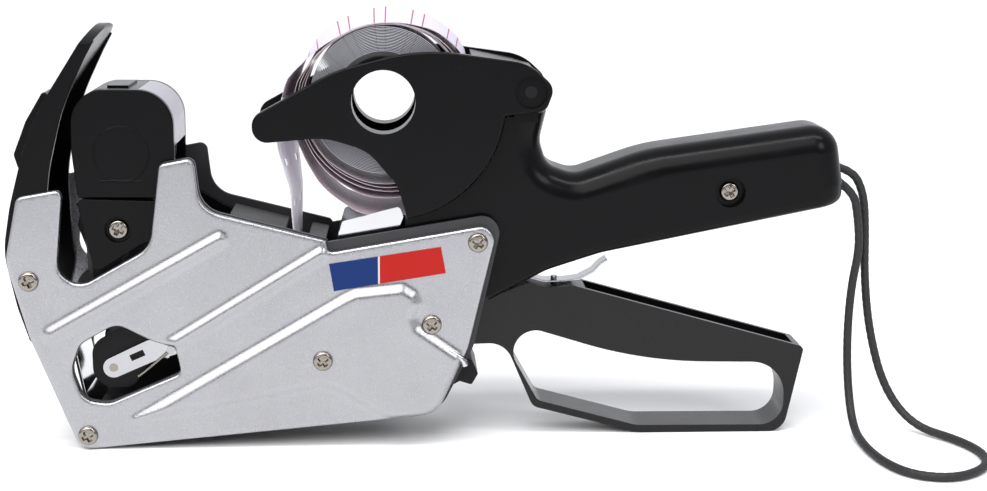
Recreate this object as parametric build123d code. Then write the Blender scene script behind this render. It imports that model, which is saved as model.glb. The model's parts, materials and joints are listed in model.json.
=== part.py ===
from build123d import *

import os
from math import atan2, cos, degrees, hypot, pi, radians, sin, tan

# A hand-held price labeling gun, standing on its nose and on the flat foot of its trigger.
# Millimetres. Nose at -X, handle at +X, up is +Z. Side views are drawn in the X-Z plane and
# extruded across the gun, along Y. The gun's middle plane is y = 0 while it is built, and the
# whole gun is then moved by ORIGIN_MOVE, which puts the origin at the bottom centre of its box.

# ---- driving dimensions -------------------------------------------------------------------
PLATE_OUT = 18.0          # middle plane to the outer face of a side plate
PLATE_THICK = 1.8
PRESSING = 0.8            # height of the pressed ribs on a side plate
PLATE_RIM = 1.0           # rounding of a side plate's outer edge
FRAME_OUT = PLATE_OUT - PLATE_THICK
FRAME_THICK = 1.3
FRAME_IN = FRAME_OUT - FRAME_THICK
ARM_OUT = 14.5            # lever arms and the lower head
ARM_IN = 12.5
HEAD_OUT = 14.0           # head cheeks
HEAD_IN = 11.6
INSIDE = 12.3             # widest piece that fits between the lever arms
LABEL_HALF = 10.9         # half width of the label tape
GRIP_HALF = 7.0           # half width of the trigger
HANDLE_HALF = 13.2        # less than ROLL_ARM_IN, so that the roll holder swings past it
SLOT_HALF = 7.6           # slot under the handle that the trigger enters
ROLL_ARM_OUT = 16.0
ROLL_ARM_IN = 13.4
SCREW_R = 1.5
SCREW_HEAD_R = 2.85
SCREW_HEAD_H = 1.3
FIT = 0.05                # radial clearance of a running fit
GAP = 0.2                 # clearance between pieces that pass each other

# ---- axes, as (x, z) ----------------------------------------------------------------------
PIVOT = (0.1, 36.3)       # trigger and print head
FEED_AXLE = (-31.0, 26.2)
NOSE_AXLE = (-98.4, 4.2)
GUARD_SCREW = (-113.2, 49.5)
HANDLE_FRONT_SCREW = (13.2, 60.2)
HANDLE_SCREW = (86.1, 73.6)
HEAD_SCREW = (-88.4, 63.5)
KNOB_AXIS = (-86.9, 85.0)
INK_PIVOT = (-74.4, 28.9)
INK_ROLLER = (-91.5, 22.6)
ROLL_AXIS = (-13.4, 99.9)
ROLL_HINGE = (28.1, 102.7)
ROLL_CURVE = (-12.5, 99.6)
COVER_HINGE = (-87.6, 3.4)
PRESSURE_AXIS = (-31.0, 14.6)

# ---- radii --------------------------------------------------------------------------------
PIVOT_R = 3.0
FEED_AXLE_R = 2.5
APPLICATOR_R = 3.8
PIN_R = 1.2
HUB_BORE_R = 9.0
HUB_R = 12.5
CORE_R = 13.8
ROLL_R = 25.2
ARM_CURVE_R = 33.2        # rear edge of a roll arm, about ROLL_CURVE
FEED_WHEEL_R = 7.0
PRESSURE_R = 4.2
BAND_WHEEL_R = 11.4
BAND_THICK = 1.2
TYPE_END = (-94.6, 43.4)  # centre of the rounded lower end of the digit bands
TYPE_END_R = 1.6
STRAP_R = 1.25
GUARD_CLEAR_R = 118.6     # the head passes inside this radius round the pivot
HUB_OUTER_R = 6.8
ROLL_PIN_R = 1.8
LUG_R = 4.6
SHAFT_R = 2.2
BUSHING_R = 3.1
KNOB_R = 6.4
SCREW_RECESS_R = 4.4
HEAD_RECESS_R = 3.7
INK_R = 5.0
INK_CAP_BORE = 1.6
RATCHET_R = 7.2

# ---- smaller sizes --------------------------------------------------------------------------
RIDGE_HALF = 5.0          # finger ridge on the guard
HANDLE_ROUND = 7.8
HANDLE_ROUND_BELOW = 3.0
HANDLE_SPLIT_Z = 70.2     # long edges above this are the upper ones
HANDLE_WALL = 2.6
CAVITY_HALF = 8.4
SCREW_RECESS = 2.4
HEAD_RECESS = 1.35
HEAD_WALL = 1.2
GUIDE_HALF = 12.2
GUIDE_THICK = 0.8
CROSS_BAR = (-57.0, 57.6)
LEAF_RIVET = (36.6, 45.2)
BAND_HALF = 10.6
BAND_COUNT = 8
BAND_GAP = 0.25
KNOB_Y = 18.9
KNOB_LONG = 5.6
KNOB_FLUTES = 16
INK_HALF = 10.2
INK_ARM_IN = 10.9
INK_ARM_OUT = 11.9
FEED_HALF = 9.0
FEED_PINS = 4
RATCHET_TEETH = 12
COVER_HALF = 14.6
HUB_TIP = 8.5
STRAP_POCKET = 4.0
STRAP_POCKET_Z = 77.6
STRAP_POCKET_HIGH = 8.8
STRAP_POCKET_WIDE = 6.4
STRAP_BEND = 0.45         # part of the shorter run that an arc may use

ORIGIN_MOVE = Pos(-0.198, -2.2, 0)

# ---- side views, as corners (x, z, corner radius) -------------------------------------------
PLATE = [
    (-115.7, 73.4, 2.4), (-102.9, 75.7, 1.8), (-106.2, 43.8, 6), (-79.2, 59.0, 8),
    (-76.0, 82.7, 1.8), (-66.5, 84.5, 2.2), (-65.0, 69.7, 8), (-29.8, 60.9, 1.3),
    (-29.0, 57.4, 1.3), (19.3, 65.7, 4.2), (10.6, 29.0, 14), (1.6, 9.4, 8),
    (-100.7, -0.3, 4.5), (-113.6, 32.3, 30), (-119.6, 55.0, 14),
]
WINDOW = [
    (-89.3, 36.9, 5), (-79.8, 32.0, 6), (-72.9, 29.7, 1.5), (-71.5, 22.4, 2),
    (-92.2, 13.5, 6), (-99.4, 14.6, 5), (-102.4, 23.6, 7), (-99.8, 31.0, 5),
]
FRAME = [
    (-106.4, 43.6, 6.2), (-79.0, 58.6, 8), (-75.6, 82.9, 1.8), (-66.3, 84.7, 2.2),
    (-64.7, 70.0, 8), (-29.6, 61.2, 1.3), (-29.2, 60.2, 0), (20.9, 68.6, 5),
    (12.2, 29.4, 12), (2.6, 10.4, 8), (-100.4, 0.5, 4), (-105.0, 9.5, 3),
]
RIB_START, RIB_END = (-107.8, 34.1), (-59.7, 61.3)
RIB_HALF = 2.3
PANEL = [
    (-84.9, 8.9), (-24.6, 44.4), (-21.7, 45.8), (-8.1, 47.2), (-5.0, 45.2), (-3.8, 42.2),
    (-5.4, 38.6), (-4.2, 35.6), (16.0, 21.6), (16.0, 2.0), (-1.6, 2.0), (-26.8, 17.6), (-31.4, 19.0),
    (-35.4, 17.9),
]
PANEL_SLOPE = 1.5         # half width of the sloping edge of the pressed panel
BADGE = [(-29.0, 54.2, 0), (2.7, 59.0, 0), (4.1, 51.4, 0), (-27.7, 46.3, 0)]
GUARD = [
    (-90.6, 120.8, 1.4), (-93.6, 121.4, 1.0), (-105.3, 103.2, 60), (-111.9, 92.3, 60),
    (-117.9, 70.5, 60), (-120.2, 57.5, 25), (-117.0, 41.5, 30), (-113.6, 30.6, 1.2),
    (-110.0, 33.0, 2), (-106.6, 48.0, 12), (-107.8, 76.0, 60), (-102.2, 98.2, 60),
    (-95.6, 111.8, 10),
]
GUARD_OUTSIDE = [
    (-93.4, 121.2), (-105.3, 103.2), (-111.9, 92.3), (-117.9, 70.5), (-120.2, 57.5),
    (-117.0, 41.5), (-113.6, 30.6),
]
GUARD_WALL = 2.2
GUARD_TIP = (-91.6, 119.2)  # top of the hollow behind the front wall
GUARD_TOP = 120.6         # height of the guard's arched top at its middle
GUARD_SHOULDER = 116.0    # and at its sides
GUARD_RIDGE = [(-107.6, 99.5, 1), (-109.3, 102.2, 1), (-114.8, 93.1, 6), (-118.6, 83.6, 1.5),
               (-117.4, 79.4, 1), (-115.0, 79.6, 1)]
HANDLE = [
    (-7.4, 50.0, 2), (-7.4, 75.0, 0), (10.0, 94.0, 0), (33.2, 96.5, 0), (31.2, 88.0, 8),
    (33.5, 81.0, 6), (41.5, 78.2, 8), (62.0, 85.4, 60), (109.5, 92.2, 14), (117.4, 92.4, 8),
    (120.4, 74.0, 20), (119.8, 70.0, 0), (49.0, 55.6, 30), (33.5, 50.6, 20),
    (17.0, 41.8, 0), (13.0, 46.4, 2),
]
HANDLE_CAVITY = [
    (-4.6, 53.0, 1), (13.6, 49.8, 2), (34.0, 54.4, 10), (113.0, 72.6, 2), (112.4, 87.4, 3),
    (62.0, 81.6, 20), (42.0, 74.6, 6), (30.6, 77.4, 6), (27.6, 88.0, 4), (28.4, 92.6, 1),
    (20.0, 92.0, 1), (-4.6, 63.0, 1),
]
TRIGGER_SLOT = [(4.0, 30.0, 0), (98.0, 30.0, 0), (98.0, 70.0, 0), (36.0, 62.0, 0), (4.0, 55.0, 0)]
TRIGGER = [
    (-2.0, 43.2, 1), (20.5, 42.8, 2), (28.4, 46.0, 1.5), (33.8, 44.4, 4), (41.6, 45.1, 2),
    (111.0, 26.0, 1.5), (105.6, 0.0, 5.5), (62.0, 0.0, 12), (30.2, 8.4, 3.5),
    (21.8, 27.9, 7), (12.0, 27.6, 4), (2.0, 30.0, 1), (-2.0, 30.0, 1),
]
TRIGGER_LOOP = [
    (17.4, 36.0, 6.5), (63.0, 22.0, 130), (105.2, 21.4, 10), (105.6, 2.1, 7), (61.3, 2.3, 12),
    (31.6, 10.3, 3.5),
]
TRIGGER_CHANNEL = [(45.0, 48.0, 0), (108.6, 30.0, 0), (107.4, 24.6, 0), (80.0, 29.0, 0), (46.5, 37.5, 0)]
CHANNEL_HALF = 5.2
LEVER = [
    (-99.7, 72.3, 1.5), (-70.0, 71.4, 3), (-61.5, 66.2, 8), (-30.0, 51.5, 20), (-4.0, 42.4, 2),
    (-4.0, 31.6, 2), (-30.0, 40.6, 20), (-60.0, 52.9, 10), (-73.0, 59.4, 6), (-79.6, 61.0, 10),
    (-95.4, 50.9, 2),
]
HEAD = [(-72.1, 72.6, 0.5), (-72.1, 103.0, 10), (-100.4, 103.2, 9.5), (-100.7, 86.0, 40), (-99.4, 72.6, 0.5)]
INK_HOUSING = [(-97.6, 16.6, 5.9), (-97.6, 29.6, 5.5), (-87.0, 35.4, 4), (-78.0, 32.6, 3), (-80.0, 26.6, 3),
               (-86.0, 16.4, 5)]
CHUTE = [(-103.8, 31.0, 0), (-102.8, 31.4, 0), (-99.8, 15.0, 1), (-97.2, 9.6, 0), (-98.1, 9.2, 0),
         (-100.8, 14.8, 1)]
PLATEN = [(-94.2, 5.2, 0.5), (-94.2, 9.0, 0.5), (-89.6, 9.0, 0.5), (-89.6, 5.2, 0.5)]
LABEL_GUIDE = [(-27.4, 58.2, 0.5), (-25.4, 65.2, 1), (-8.9, 69.6, 1), (-7.9, 66.6, 1), (-9.6, 62.4, 0.5)]
GUIDE_FLOOR = [(-27.2, 58.0, 0), (-27.0, 59.0, 0), (-9.6, 63.3, 0), (-9.6, 62.2, 0)]
TOP_COVER_FRONT = [(-58.6, 64.6, 0.5), (-57.8, 66.6, 0.5), (-41.6, 62.4, 0.5), (-42.0, 60.8, 0.5)]
TOP_COVER_REAR = [(-35.6, 58.8, 0.5), (-35.2, 60.9, 0.5), (-30.0, 59.8, 0.5), (-30.2, 57.4, 0.5)]
ROLL_ARM = [
    (-50.2, 88.0, 4.2), (-50.2, 95.6, 4.2), (-27.0, 108.6, 40), (-3.0, 114.9, 60), (27.5, 110.8, 14),
    (34.8, 104.0, 4), (32.4, 97.4, 3), (20.6, 96.0, 1), (19.2, 84.9, 31), (4.1, 68.9, 31),
    (-6.9, 66.7, 0.8), (-9.4, 76.0, 12), (-18.0, 86.2, 12), (-30.0, 89.8, 20),
]
ROLL_BRIDGE = [(11.6, 112.6, 0), (24.0, 110.2, 12), (29.4, 108.5, 0), (28.8, 107.8, 0), (23.6, 108.4, 10),
               (11.6, 110.8, 0)]
TAPE = [(-41.2, 88.0, 0), (-40.8, 88.0, 0), (-38.0, 64.0, 40), (-38.0, 30.0, 0), (-38.4, 30.0, 0),
        (-38.4, 64.0, 40)]
COVER = [
    (-86.0, 2.3, 0), (-86.0, 3.9, 0), (-8.6, 11.4, 0), (-0.6, 12.4, 4), (4.6, 22.6, 0), (6.0, 22.0, 0),
    (0.6, 10.8, 5), (-8.4, 9.8, 0),
]
RELEASE_TAB = [(5.04, 20.0, 0), (8.4, 24.4, 0.8), (12.0, 23.8, 0.8), (13.8, 19.6, 0.8), (11.9, 16.3, 0.8),
               (8.4, 17.4, 0.5), (5.6, 15.9, 0.8), (3.11, 16.0, 0)]
LEAF = [(28.6, 47.2), (33.4, 45.8), (39.4, 45.8), (43.6, 46.4), (47.8, 48.6), (50.0, 51.0), (52.0, 52.2)]
LEAF_THICK = 0.6
LEAF_HALF = 3.3

# Route of the wrist strap's middle line, as (x, y, z): out of the handle, down, round on the
# surface that the gun stands on, up again and back into the handle.
STRAP_EXIT_X = 116.6
STRAP = [
    (STRAP_EXIT_X, 1.6, 79.7), (124.9, 1.6, 78.4), (128.9, 1.2, 71.2), (129.8, 0.8, 60.0),
    (130.2, 0.8, 46.0), (132.4, 0.4, 29.0), (137.0, -2.0, 12.0), (144.4, -9.0, 1.9),
    (154.6, -21.6, 1.3), (158.0, -34.0, 1.3), (154.6, -46.0, 1.3), (143.6, -54.6, 1.3),
    (132.6, -52.4, 1.3), (127.0, -42.0, 1.3), (125.2, -26.0, 1.3), (125.8, -11.0, 2.2),
    (125.6, -3.6, 13.0), (125.0, -2.4, 28.0), (125.6, -2.0, 43.0), (127.6, -2.0, 55.0),
    (126.6, -2.0, 64.5), (124.9, -1.8, 72.6), (STRAP_EXIT_X, -1.6, 77.4),
]


# ---- tools ------------------------------------------------------------------------------------
def outline(corners):
    """Face of a side view from its corners and their radii."""
    points = [(x, z) for x, z, _ in corners]
    path = FilletPolyline(*points, radius=[r for _, _, r in corners], close=True)
    return make_face(path.edges())


def slab(face, y_from, y_to):
    """A side-view face extruded across the gun."""
    return extrude(Plane.XZ.offset(-y_to) * face, amount=y_to - y_from)


def rod(centre, radius, y_from, y_to):
    return slab(Pos(*centre) * Circle(radius), y_from, y_to)


def tube(centre, radius, bore, y_from, y_to):
    return slab(Pos(*centre) * (Circle(radius) - Circle(bore)), y_from, y_to)


def mirrored(solid):
    return mirror(solid, about=Plane.XZ)


def hull(centre_a, radius_a, centre_b, radius_b):
    """Face bounded by two circles and their outer tangents."""
    return make_hull((Pos(*centre_a) * Circle(radius_a) + Pos(*centre_b) * Circle(radius_b)).edges())


def inset(points, distance):
    """Corners of a closed outline moved towards its right-hand side by a distance."""
    moved = []
    for i, (x, z) in enumerate(points):
        before, after = points[i - 1], points[(i + 1) % len(points)]
        first = Vector(x - before[0], z - before[1]).normalized()
        second = Vector(after[0] - x, after[1] - z).normalized()
        side = Vector(first.Y + second.Y, -first.X - second.X).normalized()
        reach = distance / (side.X * first.Y - side.Y * first.X)
        moved.append((x + side.X * reach, z + side.Y * reach))
    return moved


def strip(points, thickness):
    """Face of a thin sheet that follows an open line, on its right-hand side."""
    line = [Vector(*p) for p in points]
    far = []
    for i, p in enumerate(line):
        along = (line[min(i + 1, len(line) - 1)] - line[max(i - 1, 0)]).normalized()
        far.append(p + Vector(along.Y, -along.X) * thickness)
    corners = [(p.X, p.Y) for p in line + far[::-1]]
    return make_face(Polyline(*corners, close=True).edges())


def pan_head(centre, y_seat, out):
    """Cross-recess pan head on a seat; out is -1 towards the left side and +1 towards the right."""
    tip = y_seat + out * SCREW_HEAD_H
    head = rod(centre, SCREW_HEAD_R, min(y_seat, tip), max(y_seat, tip))
    head = fillet(head.edges().filter_by(GeomType.CIRCLE).sort_by(Axis.Y)[0 if out < 0 else -1], 0.9)
    for width, height in ((0.75, 3.4), (3.4, 0.75)):
        cut = Pos(*centre) * Rot(0, 0, 25) * Rectangle(width, height)
        head -= slab(cut, min(tip, tip - out * 0.8), max(tip, tip - out * 0.8))
    return head


def through_screw(centre, y_left, y_right):
    """Screw across the whole gun, with a head at each side."""
    shank = rod(centre, SCREW_R, y_left, y_right)
    return shank + pan_head(centre, y_left, -1) + pan_head(centre, y_right, 1)


def save(name, solid):
    placed = ORIGIN_MOVE * solid
    export_step(placed, os.path.join("parts", f"{name}.step"))
    boxes.append((name, placed.bounding_box()))


# ---- frame ------------------------------------------------------------------------------------
def pressed(corners_low, corners_high, y_base):
    """Pressed boss with sloping sides on the left plate."""
    low = Plane.XZ.offset(-y_base) * make_face(Polyline(*corners_low, close=True).edges())
    high = Plane.XZ.offset(-y_base + PRESSING) * make_face(Polyline(*corners_high, close=True).edges())
    return loft([low.face(), high.face()], ruled=True)


def side_plate():
    """Left side plate: pressed rib, pressed panel, rounded rim, window and screw holes."""
    face = outline(PLATE)
    plate = slab(face - outline(WINDOW), -PLATE_OUT, -FRAME_OUT)
    plate = fillet(plate.faces().sort_by(Axis.Y)[0].outer_wire().edges(), PLATE_RIM)
    length = hypot(RIB_END[0] - RIB_START[0], RIB_END[1] - RIB_START[1])
    turn = degrees(atan2(RIB_END[1] - RIB_START[1], RIB_END[0] - RIB_START[0]))
    middle = Pos((RIB_START[0] + RIB_END[0]) / 2, (RIB_START[1] + RIB_END[1]) / 2) * Rot(0, 0, turn)
    rib = slab(middle * SlotCenterToCenter(length, RIB_HALF * 2), -PLATE_OUT - PRESSING, -PLATE_OUT)
    rib = chamfer(rib.faces().sort_by(Axis.Y)[0].edges(), PRESSING * 0.9)
    panel = pressed(inset(PANEL, -PANEL_SLOPE), inset(PANEL, PANEL_SLOPE), -PLATE_OUT)
    panel &= slab(outline(inset_rim(PLATE)), -PLATE_OUT - PRESSING, -PLATE_OUT)
    plate = plate + rib + panel
    plate -= rod(PIVOT, SCREW_HEAD_R + GAP, -PLATE_OUT - PRESSING, -PLATE_OUT)
    for centre in (PIVOT, FEED_AXLE, NOSE_AXLE, GUARD_SCREW, HANDLE_FRONT_SCREW):
        plate -= rod(centre, SCREW_R + FIT, -PLATE_OUT - 2, -FRAME_OUT)
    return plate


def inset_rim(corners):
    """Plate outline moved in by the rim rounding, so that pressings end inside the rim."""
    moved = inset([(x, z) for x, z, _ in corners], PLATE_RIM)
    return [(x, z, max(corner[2] - PLATE_RIM, 0.2)) for (x, z), corner in zip(moved, corners)]


def inner_frame():
    """Left inner frame: a moulded wall just inside the side plate."""
    wall = slab(outline(FRAME) - outline(WINDOW), -FRAME_OUT, -FRAME_IN)
    for centre in (PIVOT, FEED_AXLE, NOSE_AXLE, HANDLE_FRONT_SCREW):
        wall -= rod(centre, SCREW_R + FIT, -FRAME_OUT, -FRAME_IN)
    for centre in (INK_PIVOT, COVER_HINGE):
        wall -= rod(centre, PIN_R + FIT, -FRAME_OUT, -FRAME_IN)
    return wall


def front_guard():
    """Channel in front of the head: two side walls, a curved front wall and a finger ridge."""
    side = outline(GUARD)
    behind_wall = [GUARD_TIP, *inset(GUARD_OUTSIDE, -GUARD_WALL)[1:], (-60.0, 30.0), (-60.0, GUARD_TIP[1])]
    hollow = make_face(Polyline(*behind_wall, close=True).edges())
    guard = slab(side, -FRAME_OUT, FRAME_OUT) - slab(hollow, -FRAME_IN, FRAME_IN)
    guard += slab(outline(GUARD_RIDGE), -RIDGE_HALF, RIDGE_HALF)
    guard -= rod(PIVOT, GUARD_CLEAR_R, -FRAME_IN, FRAME_IN)
    for y_from, y_to in ((-FRAME_OUT, -FRAME_IN), (FRAME_IN, FRAME_OUT)):
        guard -= rod(GUARD_SCREW, SCREW_R + FIT, y_from, y_to)
    return guard & guard_arch()


def guard_arch():
    """Block that a front view of the guard fits in: straight sides under an arched top."""
    left, right = -FRAME_OUT, FRAME_OUT
    arch = ThreePointArc((0, left, GUARD_SHOULDER), (0, 0, GUARD_TOP), (0, right, GUARD_SHOULDER))
    sides = Polyline((0, right, GUARD_SHOULDER), (0, right, 0), (0, left, 0), (0, left, GUARD_SHOULDER))
    return extrude(make_face([*arch.edges(), *sides.edges()]), amount=200, dir=(-1, 0, 0))


def guard_screw():
    """Short screw that holds the left wall of the guard to the left plate."""
    return rod(GUARD_SCREW, SCREW_R, -PLATE_OUT, -FRAME_IN) + pan_head(GUARD_SCREW, -PLATE_OUT, -1)


def handle_blank():
    """Handle and upright, solid, with rounded long edges."""
    face = outline(HANDLE) - Pos(*ROLL_CURVE) * Circle(ARM_CURVE_R + 3 * GAP)
    blank = slab(face, -HANDLE_HALF, HANDLE_HALF)
    for radius, is_top in ((HANDLE_ROUND, True), (HANDLE_ROUND_BELOW, False)):
        rims = [e for e in blank.edges() if abs(e.center().Y) > HANDLE_HALF - 0.1 and e.center().X > 30]
        blank = fillet([e for e in rims if (e.center().Z > HANDLE_SPLIT_Z) == is_top], radius)
    return blank


def handle_shell():
    """Left half of the handle, hollow, with the slot that the trigger enters."""
    shell = handle_blank() & Pos(0, -50, 60) * Box(400, 100, 400)
    cavity = outline(HANDLE_CAVITY) - Pos(*ROLL_CURVE) * Circle(ARM_CURVE_R + HANDLE_WALL)
    shell -= slab(cavity, -CAVITY_HALF, CAVITY_HALF)
    shell -= slab(outline(TRIGGER_SLOT), -SLOT_HALF, SLOT_HALF)
    shell += slab(hinge_lug(), -HANDLE_HALF, 0)
    shell += rod(HANDLE_FRONT_SCREW, 5.0, -FRAME_IN, -HANDLE_HALF)
    shell -= rod(ROLL_HINGE, ROLL_PIN_R, -HANDLE_HALF, 0)
    shell -= rod(HANDLE_FRONT_SCREW, SCREW_R + FIT, -FRAME_IN, 0)
    shell -= rod(HANDLE_SCREW, SCREW_R + FIT, -HANDLE_HALF, 0)
    shell -= rod(HANDLE_SCREW, SCREW_RECESS_R, -HANDLE_HALF, -HANDLE_HALF + SCREW_RECESS)
    pocket = Box(2 * STRAP_POCKET, STRAP_POCKET_WIDE, STRAP_POCKET_HIGH)
    shell -= Pos(STRAP_EXIT_X, 0, STRAP_POCKET_Z) * pocket
    return shell


def hinge_lug():
    """Side view of the lug that carries the roll holder's hinge."""
    foot = Pos(ROLL_HINGE[0] - 1.2, ROLL_HINGE[1] - 4.4) * Rectangle(2 * LUG_R - 2.4, 8.8)
    return foot + Pos(*ROLL_HINGE) * Circle(LUG_R)


def strap_pin():
    """Block inside the end of the handle that holds both ends of the strap."""
    middle = STRAP_EXIT_X - STRAP_POCKET / 2
    return Pos(middle, 0, STRAP_POCKET_Z) * Box(STRAP_POCKET, STRAP_POCKET_WIDE, STRAP_POCKET_HIGH)


def handle_screw():
    y_seat = -HANDLE_HALF + SCREW_RECESS
    shank = rod(HANDLE_SCREW, SCREW_R, y_seat, HANDLE_HALF - SCREW_RECESS)
    return shank + pan_head(HANDLE_SCREW, y_seat, -1) + pan_head(HANDLE_SCREW, -y_seat, 1)


def label_guide():
    """Bright sheet channel under the label roll, which leads the tape into its slot."""
    cheek = outline(LABEL_GUIDE)
    guide = slab(cheek, -GUIDE_HALF, -GUIDE_HALF + GUIDE_THICK)
    guide += slab(cheek, GUIDE_HALF - GUIDE_THICK, GUIDE_HALF)
    return guide + slab(outline(GUIDE_FLOOR), -GUIDE_HALF, GUIDE_HALF)


def wrist_strap():
    """Cord of straight runs joined by tangent arcs, in a loop from the handle and back."""
    points = [Vector(*p) for p in STRAP]
    radii = []
    for before, here, after in zip(points, points[1:], points[2:]):
        first, second = here - before, after - here
        run = min(first.length, second.length)
        radii.append(STRAP_BEND * run / tan(radians(first.get_angle(second)) / 2))
    print("strap radii", [round(r, 1) for r in radii])
    path = FilletPolyline(*points, radius=radii)
    section = Plane(path @ 0, z_dir=path % 0) * Circle(STRAP_R)
    strap = sweep(section, path=path)
    print("strap length", round(path.length, 1), "volume ratio",
          round(strap.volume / (pi * STRAP_R ** 2 * path.length), 4))
    return strap


# ---- trigger and head ---------------------------------------------------------------------------
def trigger_grip():
    """Trigger loop with its open channel, and the hub that turns on the pivot sleeve."""
    grip = slab(outline(TRIGGER) - outline(TRIGGER_LOOP), -GRIP_HALF, GRIP_HALF)
    grip -= slab(outline(TRIGGER_CHANNEL), -CHANNEL_HALF, CHANNEL_HALF)
    grip -= Pos(LEAF_RIVET[0], 0, LEAF_RIVET[1]) * Cylinder(0.9, 3.0)
    grip += rod(PIVOT, HUB_OUTER_R, -ARM_IN, ARM_IN)
    return grip - rod(PIVOT, PIVOT_R + FIT, -ARM_IN, ARM_IN)


def leaf_spring():
    leaf = slab(strip(LEAF, LEAF_THICK), -LEAF_HALF, LEAF_HALF)
    return leaf - Pos(LEAF_RIVET[0], 0, LEAF_RIVET[1]) * Cylinder(0.9, 6)


def lever_arm():
    """Left lever arm, from the pivot to the lower head, with the recess of the head screw."""
    face = outline(LEVER) + Pos(*PIVOT) * Circle(HUB_OUTER_R)
    arm = slab(face, -ARM_OUT, -ARM_IN)
    arm -= rod(PIVOT, PIVOT_R + FIT, -ARM_OUT, -ARM_IN)
    arm -= rod(HEAD_SCREW, SCREW_R + FIT, -ARM_OUT, -ARM_IN)
    return arm - rod(HEAD_SCREW, HEAD_RECESS_R, -ARM_OUT, -ARM_OUT + HEAD_RECESS)


def head_screw():
    y_seat = -ARM_OUT + HEAD_RECESS
    return rod(HEAD_SCREW, SCREW_R, y_seat, -ARM_IN + 4.0) + pan_head(HEAD_SCREW, y_seat, -1)


def head_cheek():
    """Left cheek of the head with a round raised cap."""
    cheek = slab(outline(HEAD), -HEAD_OUT, -HEAD_IN)
    cheek = fillet(cheek.faces().sort_by(Axis.Y)[0].edges().sort_by(Axis.Z)[1:], 0.4)
    ring = tube(KNOB_AXIS, 7.9, 7.4, -HEAD_OUT - 0.2, -HEAD_OUT)
    return cheek + ring - rod(KNOB_AXIS, BUSHING_R + FIT, -HEAD_OUT + 0.6, -HEAD_IN)


def head_shell():
    """Side view of the thin wall that closes the head between its cheeks."""
    return outline(HEAD) - outline([(x, z, max(r - HEAD_WALL, 0.2)) for (x, z), r in zip(
        inset([(x, z) for x, z, _ in HEAD][::-1], HEAD_WALL), [r for _, _, r in HEAD][::-1])])


def head_cover():
    """Black wall over the top and the front of the head, with a small raised block."""
    front = head_shell() & Pos(-93.0, 97.6) * Rectangle(22.0, 16.0)
    cover = slab(front, -HEAD_IN, HEAD_IN)
    return cover + slab(Pos(-88.0, 103.3) * Rectangle(6.0, 0.8), -8.0, 8.0)


def index_window():
    """Pale curved window over the top rear corner of the head."""
    rear = head_shell() & Pos(-76.5, 96.0) * Rectangle(11.0, 18.0)
    return slab(rear, -HEAD_IN, HEAD_IN)


def band_face(growth):
    return hull(KNOB_AXIS, BAND_WHEEL_R + growth, TYPE_END, TYPE_END_R + growth)


def digit_bands():
    """Ribbed print bands side by side round the wheel and the lower end of the type bar."""
    pack = slab(band_face(BAND_THICK * 0.7) - band_face(0), -BAND_HALF, BAND_HALF)
    pitch = 2 * BAND_HALF / BAND_COUNT
    ring = band_face(BAND_THICK) - band_face(BAND_THICK * 0.5)
    for i in range(BAND_COUNT):
        y = -BAND_HALF + i * pitch
        pack += slab(ring, y + BAND_GAP, y + pitch - BAND_GAP)
    return pack


def band_wheel():
    """Wheel that carries the digit bands."""
    return tube(KNOB_AXIS, BAND_WHEEL_R - FIT, SHAFT_R + FIT, -BAND_HALF, BAND_HALF)


def type_bar():
    """Core inside the digit bands, bolted between the two lever arms."""
    core = band_face(-FIT) - Pos(*KNOB_AXIS) * Circle(BAND_WHEEL_R + FIT)
    bar = slab(core, -BAND_HALF, BAND_HALF)
    ear = Pos(*HEAD_SCREW) * Rectangle(9.0, 7.0)
    for y_from, y_to in ((-ARM_IN, -BAND_HALF), (BAND_HALF, ARM_IN)):
        bar += slab(ear & core, y_from, y_to)
    for y_from, y_to in ((-ARM_IN, -ARM_IN + 4.0), (ARM_IN - 4.0, ARM_IN)):
        bar -= rod(HEAD_SCREW, SCREW_R, y_from, y_to)
    return bar


def knob_bushing():
    """Sliding sleeve that carries the knob's shaft through the right cheek of the head."""
    return tube(KNOB_AXIS, BUSHING_R, SHAFT_R + FIT, HEAD_IN - 0.6, KNOB_Y - GAP)


def adjusting_knob():
    """Knob and shaft, with a fluted rim."""
    shaft = rod(KNOB_AXIS, SHAFT_R, -BAND_HALF + 1.0, KNOB_Y)
    knob = rod(KNOB_AXIS, KNOB_R, KNOB_Y, KNOB_Y + KNOB_LONG)
    knob = chamfer(knob.edges().sort_by(Axis.Y)[-1], 0.8)
    for i in range(KNOB_FLUTES):
        turn = 2 * pi * i / KNOB_FLUTES
        groove = (KNOB_AXIS[0] + KNOB_R * cos(turn), KNOB_AXIS[1] + KNOB_R * sin(turn))
        knob -= rod(groove, 0.5, KNOB_Y, KNOB_Y + KNOB_LONG)
    return shaft + knob


# ---- inker --------------------------------------------------------------------------------------
def ink_arm():
    """Bent strip with an arm at each side of the roller and a bridge near its pivot."""
    strap = hull(INK_ROLLER, 3.0, (-80.6, 27.6), 3.2) + hull((-80.6, 27.6), 3.2, INK_PIVOT, 2.6)
    strap -= Pos(-84.6, 26.2) * Rot(0, 0, 24) * Rectangle(4.2, 1.8)
    arm = slab(strap, -INK_ARM_OUT, -INK_ARM_IN) + slab(strap, INK_ARM_IN, INK_ARM_OUT)
    bridge = Pos(-76.6, 27.2) * Rot(0, 0, 24) * Rectangle(1.0, 4.0)
    arm += slab(bridge, -INK_ARM_OUT, INK_ARM_OUT)
    arm -= rod(INK_ROLLER, PIN_R, -INK_ARM_OUT, INK_ARM_OUT)
    return arm - rod(INK_PIVOT, PIN_R + FIT, -INK_ARM_OUT, INK_ARM_OUT)


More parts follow.
